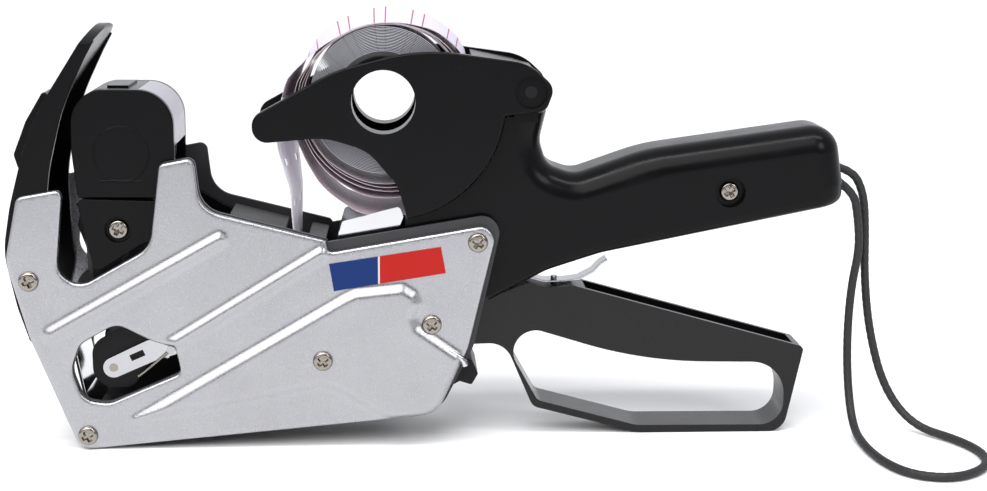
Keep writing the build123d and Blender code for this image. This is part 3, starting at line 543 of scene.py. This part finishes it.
def wrist_strap():
    """Braided cord: strands that cross in a diamond pattern round the cord."""
    route = strap_route()
    line = [route[0]]
    travelled = [0.0]
    for point in route[1:]:
        step = (point - line[-1]).length
        if step > STRAP_MERGE:
            parts = max(1, math.ceil(step / STRAP_STEP))
            base = line[-1]
            for k in range(1, parts + 1):
                line.append(base.lerp(point, k / parts))
                travelled.append(travelled[-1] + step / parts)

    def radius(i, k):
        turn = 2 * math.pi * k / BRAID_SIDES
        run = math.pi * travelled[i] / (BRAID_PITCH * MM)
        one = abs(math.sin(BRAID_STRANDS * turn / 2 + run))
        two = abs(math.sin(BRAID_STRANDS * turn / 2 - run))
        return STRAP_R * MM * (1 - BRAID_DEEP + BRAID_DEEP * max(one, two))

    piece = new_piece("strap_cord", lambda shape: tube_along(shape, line, radius, BRAID_SIDES),
                      "frame", "strap_braid", sharp=80)
    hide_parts("wrist_strap")


# ---- label roll -------------------------------------------------------------------------------
TIGHT_R = 21.2            # of the tightly wound part, which turns about the roll's axis
LOOSE_CENTRE = (-13.0, 98.9)
LOOSE_R = 22.5            # of the innermost loose wrap
OUTER_R = 27.0            # of the outermost, roughly
LINES_EVERY = 12.0        # from one pair of red lines to the next
WRAP_PITCH = 0.42         # from one turn of the tightly wound tape to the next
PAPER_THICK = 0.16
WRAP_STEPS = 96           # steps in one turn
# Outermost loose wrap, as (degrees about LOOSE_CENTRE, radius at the left edge, at the right edge).
LOOSE_WRAP = [
    (176.6, 29.05, 26.1), (166, 28.3, 25.5), (154, 25.8, 25.5), (141, 24.2, 25.9), (132, 23.4, 26.0),
    (123, 22.8, 25.8), (107, 22.8, 25.5), (92, 22.8, 25.9), (77, 23.3, 26.4), (67, 23.9, 26.4),
    (55, 25.0, 26.9), (40, 25.6, 27.3), (29, 26.0, 26.9), (19, 25.3, 25.4), (-5, 26.7, 26.6),
    (-29, 28.2, 27.7), (-53, 30.3, 29.4), (-71, 32.1, 30.1), (-84, 32.6, 30.6), (-95, 32.5, 30.3),
    (-104, 32.1, 30.4), (-113, 30.9, 30.2), (-126, 29.7, 28.7), (-137, 28.8, 27.4), (-150, 28.4, 27.0),
    (-167, 28.8, 26.4), (-183.4, 29.05, 26.1),
]
# How far each loose turn stands out, as (turn, share of the outermost wrap's distance from LOOSE_R).
LOOSE_SHARE = [
    (0, 1.0), (0.85, 1.0), (1.0, 0.5), (1.85, 0.48), (2.0, 0.36), (3.0, 0.24), (4.0, 0.13), (5.0, 0.03),
]
CRUMPLES = [(0.16, 9.1, 0.6), (0.10, 31, 0), (0.06, 67, 2)]   # height, radians in one turn, start
# Free tape from the outermost wrap down into the gun: (x, z) of its left edge, then of its right edge.
TAPE_EDGES = [
    ((-42.0, 100.62), (-39.05, 100.45)), ((-43.0, 94.0), (-39.3, 93.6)), ((-43.5, 87.2), (-39.1, 86.8)),
    ((-41.8, 80.0), (-38.3, 79.8)), ((-40.1, 73.7), (-37.7, 73.7)), ((-39.7, 67.0), (-37.8, 67.0)),
    ((-39.3, 62.0), (-38.0, 62.0)), ((-38.6, 55.0), (-38.1, 55.0)), ((-38.1, 44.0), (-38.1, 44.0)),
    ((-38.1, 31.0), (-38.1, 31.0)),
]
TAPE_COLUMNS = [0, 0.19, 0.22, 0.25, 0.5, 0.75, 0.78, 0.81, 1]
SLIT_COLUMNS = (1, 2, 5, 6)
SLIT_EVERY = 12.0
SLIT_SHIFT = 1.4
SLIT_SPAN = (8.0, 10.2)   # where a slit begins and ends in each stretch of SLIT_EVERY


def ribbon(shape, across):
    """Closed band through rows of four corner points: outer low y and high y, inner high y and low y."""
    rows = [[shape.verts.new(p) for p in corners] for corners in across]
    for low, high in zip(rows, rows[1:]):
        for k in range(4):
            shape.faces.new([low[k], low[(k + 1) % 4], high[(k + 1) % 4], high[k]])
    shape.faces.new(rows[0][::-1])
    shape.faces.new(rows[-1])


def wrap_corners(centre, angle, left, right, drift):
    """Corners of a wound tape's section about a centre (x, z), its outer radius given at both edges."""
    low, high = drift - TAPE_HALF, drift + TAPE_HALF
    edges = [(left, low), (right, high), (right - PAPER_THICK, high), (left - PAPER_THICK, low)]
    return [round_spot(centre, radius, angle, y) for radius, y in edges]


def label_roll():
    """The tight part of the roll, which turns: one long spiral band, its edges a little uneven."""
    turns = int((TIGHT_R - CORE_R - 0.1) / WRAP_PITCH)
    drift = [random.uniform(-0.13, 0.13) for _ in range(turns + 2)]

    def build(shape):
        across = []
        for k in range(turns * WRAP_STEPS):
            turn = k / WRAP_STEPS
            here, blend = int(turn), smooth(turn % 1)
            radius = CORE_R + 0.1 + WRAP_PITCH * turn
            shift = drift[here] * (1 - blend) + drift[here + 1] * blend
            across.append(wrap_corners(ROLL_AXIS, 2 * math.pi * turn, radius, radius, shift))
        ribbon(shape, across)

    piece = new_piece("label_wraps", build, "label_roll", "label_paper", material=roll_paper, sharp=60)
    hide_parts("label_roll")


def loose_wraps():
    """Slack outer turns of the roll, crumpled, which keep their place while the roll turns."""
    angles, lefts, rights = (list(column)[::-1] for column in zip(*LOOSE_WRAP))
    shares = list(zip(*LOOSE_SHARE))

    def build(shape):
        across = []
        for k in range(int(shares[0][-1] * WRAP_STEPS)):
            turn = k / WRAP_STEPS
            degrees = angles[-1] - 360 * (turn % 1)
            share = np.interp(turn, *shares)
            waves = sum(high * math.sin(rate * turn + start) for high, rate, start in CRUMPLES)
            crumple = min(1, max(0, turn - 0.9)) * waves
            left = LOOSE_R + (np.interp(degrees, angles, lefts) - LOOSE_R) * share + crumple
            right = LOOSE_R + (np.interp(degrees, angles, rights) - LOOSE_R) * share + crumple * 0.7
            shift = 0.3 * math.sin(5 * turn) * min(1, turn)
            across.append(wrap_corners(LOOSE_CENTRE, math.radians(degrees), left, right, shift))
        ribbon(shape, across)

    new_piece("loose_label_wraps", build, "roll_holder", "label_paper", material=roll_paper, sharp=60)


def label_tape():
    """Free stretch of tape, a little twisted, with pairs of small die-cut slits."""
    left = bezier_line([spot(near[0], -TAPE_HALF, near[1]) for near, _ in TAPE_EDGES], 0.7 * MM)
    depths = [-spot(0, 0, near[1]).z for near, _ in TAPE_EDGES]
    right = []
    for here in left:
        share = np.interp(-here.z, depths, range(len(depths)))
        low = min(int(share), len(TAPE_EDGES) - 2)
        start, end = Vector(TAPE_EDGES[low][1]), Vector(TAPE_EDGES[low + 1][1])
        x, z = start.lerp(end, share - low)
        right.append(spot(x, TAPE_HALF, z))

    def build(shape):
        rows = [[shape.verts.new(a.lerp(b, c)) for c in TAPE_COLUMNS] for a, b in zip(left, right)]
        travelled = 0.0
        for i, (low, high) in enumerate(zip(rows, rows[1:])):
            travelled += (left[i + 1] - left[i]).length / MM
            in_slit = SLIT_SPAN[0] < (travelled + SLIT_SHIFT) % SLIT_EVERY < SLIT_SPAN[1]
            for k in range(len(TAPE_COLUMNS) - 1):
                if in_slit and k in SLIT_COLUMNS:
                    continue
                shape.faces.new([low[k], low[k + 1], high[k + 1], high[k]])

    piece = new_piece("label_tape_strip", build, None, "label_paper", sharp=80)
    thick = piece.modifiers.new("thickness", "SOLIDIFY")
    thick.thickness = PAPER_THICK * MM
    thick.offset = 0
    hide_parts("label_tape")
    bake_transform(piece)


def make_roll_paper():
    """Label tape: outside lavender white with pairs of red lines, inside and cut edges pinkish grey."""
    made, tree, bsdf = shader("roll_paper")
    place = node(tree, "ShaderNodeTexCoord")
    centred = node(tree, "ShaderNodeVectorMath", operation="SUBTRACT")
    centred.inputs[1].default_value = spot(LOOSE_CENTRE[0], 0, LOOSE_CENTRE[1])
    tree.links.new(place.outputs["Object"], centred.inputs[0])
    parts = node(tree, "ShaderNodeSeparateXYZ")
    tree.links.new(centred.outputs["Vector"], parts.inputs["Vector"])
    angle = node(tree, "ShaderNodeMath", operation="ARCTAN2")
    tree.links.new(parts.outputs["Z"], angle.inputs[0])
    tree.links.new(parts.outputs["X"], angle.inputs[1])
    spread = node(tree, "ShaderNodeMath", operation="MULTIPLY")
    spread.inputs[1].default_value = OUTER_R / LINES_EVERY
    tree.links.new(angle.outputs[0], spread.inputs[0])
    along = node(tree, "ShaderNodeMath", operation="FRACT")
    tree.links.new(spread.outputs[0], along.inputs[0])
    lavender, red = (0.56, 0.53, 0.65), (0.30, 0.04, 0.08)
    stops = [(0.0, lavender), (0.50, red), (0.535, lavender), (0.80, red), (0.835, lavender)]
    lines = ramp(tree, along.outputs[0], stops, "CONSTANT")
    normal = node(tree, "ShaderNodeNewGeometry")
    flat = node(tree, "ShaderNodeVectorMath", operation="MULTIPLY")
    flat.inputs[1].default_value = (1, 0, 1)
    tree.links.new(centred.outputs["Vector"], flat.inputs[0])
    facing = node(tree, "ShaderNodeVectorMath", operation="DOT_PRODUCT")
    tree.links.new(normal.outputs["True Normal"], facing.inputs[0])
    tree.links.new(flat.outputs["Vector"], facing.inputs[1])
    outside = node(tree, "ShaderNodeMath", operation="GREATER_THAN")
    outside.inputs[1].default_value = 0.008
    tree.links.new(facing.outputs["Value"], outside.inputs[0])
    distance = node(tree, "ShaderNodeVectorMath", operation="LENGTH")
    tree.links.new(flat.outputs["Vector"], distance.inputs[0])
    span = node(tree, "ShaderNodeMapRange")
    span.inputs["From Min"].default_value = CORE_R * MM
    span.inputs["From Max"].default_value = 32 * MM
    tree.links.new(distance.outputs["Value"], span.inputs["Value"])
    side = ramp(tree, span.outputs["Result"], [(0.0, (0.46, 0.46, 0.50)), (0.42, (0.40, 0.40, 0.43)),
                                               (0.50, (0.42, 0.36, 0.38)), (0.62, (0.46, 0.37, 0.40))])
    mix = node(tree, "ShaderNodeMix", data_type="RGBA")
    tree.links.new(outside.outputs[0], mix.inputs[0])
    tree.links.new(side, mix.inputs[6])
    tree.links.new(lines, mix.inputs[7])
    tree.links.new(mix.outputs[2], bsdf.inputs["Base Color"])
    fibres = noise(tree, 900, 5)
    vary(tree, bsdf, "Roughness", fibres, [(0.3, 0.4), (0.7, 0.6)])
    bump(tree, bsdf, fibres, 0.3, 0.00002)
    return made


roll_paper = make_roll_paper()


# ---- screws -----------------------------------------------------------------------------------
HEAD_R = 2.85
HEAD_HIGH = 1.3
RECESS_REACH = 1.75       # from the head's middle to the end of a recess arm
RECESS_HALF = 0.52
RECESS_DEEP = 1.15
RECESS_WALL = 0.16
HEAD_RINGS = [
    0.15, 0.3, 0.42, 0.5, 0.6, 0.75, 0.9, 1.05, 1.2, 1.35, 1.5, 1.62, 1.75, 1.9, 2.1, 2.35, 2.55, 2.7,
    2.8, HEAD_R,
]
HEAD_SECTORS = 72
SHANK_R = 1.5
# Screw with a head at both ends: its CAD node, its middle (x, z), its seats' distance from y 0, and the turn
# of its recess in degrees.
SCREWS = [
    ("pivot_screw", (0.1, 36.3), PLATE_OUT, 52), ("feed_screw", (-31.0, 26.2), PLATE_OUT + PRESSING, 40),
    ("nose_screw", (-98.4, 4.2), PLATE_OUT, 28), ("handle_front_screw", (13.2, 60.2), PLATE_OUT, 55),
    ("handle_screw", (86.1, 73.6), 10.8, 35),
]
# Short screw, one on each side: its CAD nodes, its middle, its seat, its shank's inner end, and its turn.
SHORT_SCREWS = [
    ("guard_screw", (-113.2, 49.5), PLATE_OUT, 14.0, 25), ("head_screw", (-88.4, 63.5), 13.15, 12.0, 62),
]


def screw_face(r, angle, turn):
    """Height of a domed cross-recess head above its seat at a radius and angle."""
    local = angle - math.radians(turn)
    u, v = abs(r * math.cos(local)), abs(r * math.sin(local))
    long, wide = max(u, v), min(u, v)
    cut = smooth((RECESS_HALF - wide) / RECESS_WALL + 0.5) * smooth((RECESS_REACH - long) / 0.3)
    dome = HEAD_HIGH * (1 - 0.16 * (r / HEAD_R) ** 2) - 0.75 * max(0.0, (r - 2.1) / 0.75) ** 2.6
    return dome - RECESS_DEEP * cut * (1 - 0.25 * long / RECESS_REACH)


def screw_head(shape, centre, y_seat, out, turn):
    """Screw head on a seat; out is -1 or +1 along Y."""
    angles = [2 * math.pi * k / HEAD_SECTORS for k in range(HEAD_SECTORS)]
    middle = shape.verts.new(spot(centre[0], y_seat + out * screw_face(0, 0, turn), centre[1]))
    rows = []
    for r in HEAD_RINGS:
        heights = [y_seat + out * screw_face(r, angle, turn) for angle in angles]
        rows.append([shape.verts.new(round_spot(centre, r, angle, y)) for angle, y in zip(angles, heights)])
    base = [shape.verts.new(round_spot(centre, HEAD_R, angle, y_seat)) for angle in angles]
    rows.append(base)
    for k in range(HEAD_SECTORS):
        shape.faces.new([middle, rows[0][k], rows[0][(k + 1) % HEAD_SECTORS]])
    for low, high in zip(rows, rows[1:]):
        for k in range(HEAD_SECTORS):
            after = (k + 1) % HEAD_SECTORS
            shape.faces.new([low[k], low[after], high[after], high[k]])
    shape.faces.new(base)


def shank(shape, centre, y_from, y_to):
    ends = [spot(centre[0], y_from, centre[1]), spot(centre[0], y_to, centre[1])]
    tube_along(shape, ends, lambda i, k: SHANK_R * MM, 24)


def turned_screw(node_name, centre, heads, turn, y_from, y_to):
    """Stands a screw for a CAD node; heads are its seats (y, side it faces)."""
    def build(shape):
        for y_seat, out in heads:
            screw_head(shape, centre, y_seat, out, turn)
        shank(shape, centre, y_from, y_to)
    piece = new_piece(f"{node_name}_turned", build, nodes[node_name]["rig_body"], "nickel", sharp=50)
    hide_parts(node_name)


def screws():
    for name, centre, seat, turn in SCREWS:
        turned_screw(name, centre, [(-seat, -1), (seat, 1)], turn, -seat, seat)
    for name, centre, seat, inner, turn in SHORT_SCREWS:
        for side, out in (("left", -1), ("right", 1)):
            turned_screw(f"{name}_{side}", centre, [(out * seat, out)], turn, out * seat, out * inner)


# ---- softened copies of CAD nodes -----------------------------------------------------------------
SOFT_EDGES = {             # CAD node: width of its rounded edges, millimetres
    "front_guard": 0.8, "handle_shell_left": 0.35, "handle_shell_right": 0.35, "trigger_grip": 0.4,
    "lever_arm_left": 0.3, "lever_arm_right": 0.3, "head_cheek_left": 0.25, "head_cheek_right": 0.25,
    "head_cover": 0.25, "index_window": 0.2, "label_guide": 0.2, "bottom_cover": 0.25,
    "cover_release_tab": 0.3, "inner_frame_left": 0.3, "inner_frame_right": 0.3, "top_cover_front": 0.3,
    "top_cover_rear": 0.3, "ink_housing": 0.3, "ink_arm": 0.15, "label_chute": 0.2, "leaf_spring": 0.12,
    "platen": 0.2, "roll_bridge": 0.3, "adjusting_knob": 0.2, "badge": 0.08,
}
SOFT_SEGMENTS = 2
SOFT_ANGLE = 38           # degrees between faces from which an edge is rounded
GLOSSY = {"trigger_grip": "grip_plastic"}   # nodes with a finish of their own


def softened(name, width):
    """Stands a copy of a CAD node for it, with its sharp edges rounded as a moulded piece's are."""
    source = nodes[name]
    shape = bmesh.new()
    shape.from_mesh(source.data)
    bmesh.ops.remove_doubles(shape, verts=shape.verts, dist=2e-6)
    bmesh.ops.dissolve_limit(shape, angle_limit=math.radians(0.6), verts=shape.verts, edges=shape.edges)
    for face in shape.faces:
        face.smooth = True
    mesh = bpy.data.meshes.new(f"{name}_soft")
    shape.to_mesh(mesh)
    shape.free()
    piece = bpy.data.objects.new(f"{name}_soft", mesh)
    bpy.context.scene.collection.objects.link(piece)
    mesh.materials.append(materials[GLOSSY.get(name, slots[name])])
    bevel = piece.modifiers.new("rounded_edges", "BEVEL")
    bevel.width = width * MM
    bevel.segments = SOFT_SEGMENTS
    bevel.limit_method = "ANGLE"
    bevel.angle_limit = math.radians(SOFT_ANGLE)
    bevel.use_clamp_overlap = True
    bevel.miter_outer = "MITER_ARC"
    weighted = piece.modifiers.new("weighted_normals", "WEIGHTED_NORMAL")
    weighted.keep_sharp = True
    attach(piece, source["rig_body"])
    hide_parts(name)


def softened_nodes():
    for name, width in SOFT_EDGES.items():
        softened(name, width)


# ---- small raised lines and the arm's flange --------------------------------------------------------
BEAD_SIDES = 10


def bead_line(name, points, y, radius, body, slot):
    """Thin round line laid along a side face, half sunk in it; points are (x, z)."""
    def build(shape):
        line = [spot(x, y, z) for x, z in points]
        tube_along(shape, line, lambda i, k: radius * MM, BEAD_SIDES)
    new_piece(name, build, body, slot, sharp=60)


FLANGE = [(-98.5, 42.5), (-104.6, 60.0), (-103.0, 67.0), (-92.0, 68.0), (-88.0, 60.0), (-90.0, 42.5)]
FLANGE_SIDES = (11.9, 13.0)
HEAD_LEDGE = [(-93.2, 77.4), (-89.0, 77.5), (-85.0, 77.4), (-81.4, 77.3)]
HEAD_OUT = 14.0
RELEASE_BAR = [(1.0, 31.1), (5.4, 28.4), (8.7, 26.3), (9.4, 25.3), (9.7, 24.0)]
RETURN_WIRE = [(-84.4, 20.0), (-82.9, 21.1), (-79.2, 24.2), (-75.5, 27.4), (-74.6, 28.0)]
RETURN_WIRE_Y = -12.4


def arm_flange():
    """Front flange of the right lever arm, seen behind the left one."""
    def build(shape):
        near, far = ([shape.verts.new(spot(x, y, z)) for x, z in FLANGE] for y in FLANGE_SIDES)
        shape.faces.new(near)
        shape.faces.new(far[::-1])
        for i in range(len(FLANGE)):
            j = (i + 1) % len(FLANGE)
            shape.faces.new([near[i], near[j], far[j], far[i]])

    new_piece("lever_arm_flange", build, "trigger", "frame_plastic", sharp=30)


def raised_lines():
    """Ledges on the head's cheeks, the bar at the release tab and the ink arm's return wire."""
    for side, sign in (("left", -1), ("right", 1)):
        bead_line(f"head_ledge_{side}", HEAD_LEDGE, sign * HEAD_OUT, 0.28, "trigger", "black_plastic")
    bead_line("release_bar", RELEASE_BAR, -PLATE_OUT, 0.85, "frame", "chrome_sheet")
    bead_line("ink_return_wire", RETURN_WIRE, RETURN_WIRE_Y, 0.42, "ink_arm", "nickel")


# ---- stage --------------------------------------------------------------------------------------
CAMERA_AT = Vector((-0.00888, -0.4902, 0.15419))
CAMERA_YAW = 3.204        # degrees to the right of straight along +Y
CAMERA_PITCH = -11.391    # degrees above the horizon
CAMERA_ROLL = 0.418       # degrees anticlockwise as the camera sees it
LENS = 61.64
FLOOR = 0.90
FLOOR_HALF = 6.0
FLOOR_DROP = 0.0001
# Softbox: its place, what it faces, its two sizes in metres, its watts.
SOFTBOXES = {
    "top_strip": ((0.0, -0.20, 0.72), (0, 0, 0.05), (1.1, 0.07), 3.6),
    "left_softbox": ((-0.75, -0.35, 0.45), (-0.05, 0, 0.05), (0.14, 0.4), 0.8),
    "right_softbox": ((0.55, -0.60, 0.50), (0, 0, 0.05), (0.3, 0.3), 1.6),
}
SUN_STRENGTH = 2.3
SUN_SPREAD = 54
SUN_TRAVEL = Vector((0.30, 0.62, -0.74))
WORLD_FRONT = 0.16        # strength of the studio behind the camera, and behind the gun
WORLD_BACK = 1.05


def camera():
    data = bpy.data.cameras.new("camera")
    data.lens = LENS
    data.clip_start = 0.01
    made = bpy.data.objects.new("camera", data)
    bpy.context.scene.collection.objects.link(made)
    yaw = Matrix.Rotation(math.radians(-CAMERA_YAW), 4, "Z")
    pitch = Matrix.Rotation(math.radians(90 + CAMERA_PITCH), 4, "X")
    roll = Matrix.Rotation(math.radians(CAMERA_ROLL), 4, "Z")
    made.matrix_world = Matrix.Translation(CAMERA_AT) @ yaw @ pitch @ roll
    bpy.context.scene.camera = made


def floor():
    """Large pale sheet under the gun."""
    material, tree, bsdf = shader("floor")
    vary(tree, bsdf, "Base Color", noise(tree, 6, 3), [(0.3, FLOOR), (0.7, FLOOR + 0.02)])
    bsdf.inputs["Roughness"].default_value = 0.7
    shape = bmesh.new()
    bmesh.ops.create_grid(shape, x_segments=8, y_segments=8, size=FLOOR_HALF)
    mesh = bpy.data.meshes.new("floor")
    shape.to_mesh(mesh)
    shape.free()
    made = bpy.data.objects.new("floor", mesh)
    bpy.context.scene.collection.objects.link(made)
    made.location.z = -FLOOR_DROP
    mesh.materials.append(material)


def softbox(name, at, target, size, power):
    data = bpy.data.lights.new(name, "AREA")
    data.shape = "RECTANGLE"
    data.size, data.size_y = size
    data.energy = power
    made = bpy.data.objects.new(name, data)
    bpy.context.scene.collection.objects.link(made)
    made.location = at
    made.rotation_euler = (Vector(target) - Vector(at)).to_track_quat("-Z", "Y").to_euler()


def sky_panel():
    """Large soft light from the front, the left and above."""
    data = bpy.data.lights.new("sky_panel", "SUN")
    data.energy = SUN_STRENGTH
    data.angle = math.radians(SUN_SPREAD)
    made = bpy.data.objects.new("sky_panel", data)
    bpy.context.scene.collection.objects.link(made)
    made.rotation_euler = SUN_TRAVEL.to_track_quat("-Z", "Y").to_euler()


def studio_walls():
    """World that is dim towards -Y and bright towards +Y."""
    world = bpy.data.worlds.new("world")
    world.use_nodes = True
    tree = world.node_tree
    place = node(tree, "ShaderNodeTexCoord")
    parts = node(tree, "ShaderNodeSeparateXYZ")
    tree.links.new(place.outputs["Generated"], parts.inputs["Vector"])
    span = node(tree, "ShaderNodeMapRange")
    span.inputs["From Min"].default_value = -1.0
    span.inputs["From Max"].default_value = 0.8
    span.inputs["To Min"].default_value = WORLD_FRONT
    span.inputs["To Max"].default_value = WORLD_BACK
    tree.links.new(parts.outputs["Y"], span.inputs["Value"])
    tree.links.new(span.outputs["Result"], tree.nodes["Background"].inputs["Strength"])
    tree.nodes["Background"].inputs["Color"].default_value = (0.95, 0.96, 1.0, 1)
    bpy.context.scene.world = world


def studio():
    for name, (at, target, size, power) in SOFTBOXES.items():
        softbox(name, at, target, size, power)
    sky_panel()
    studio_walls()
    bpy.context.scene.view_settings.view_transform = "Standard"


dress_nodes()
softened_nodes()
side_plates()
label_roll()
loose_wraps()
label_tape()
screws()
raised_lines()
arm_flange()
wrist_strap()
camera()
floor()
studio()
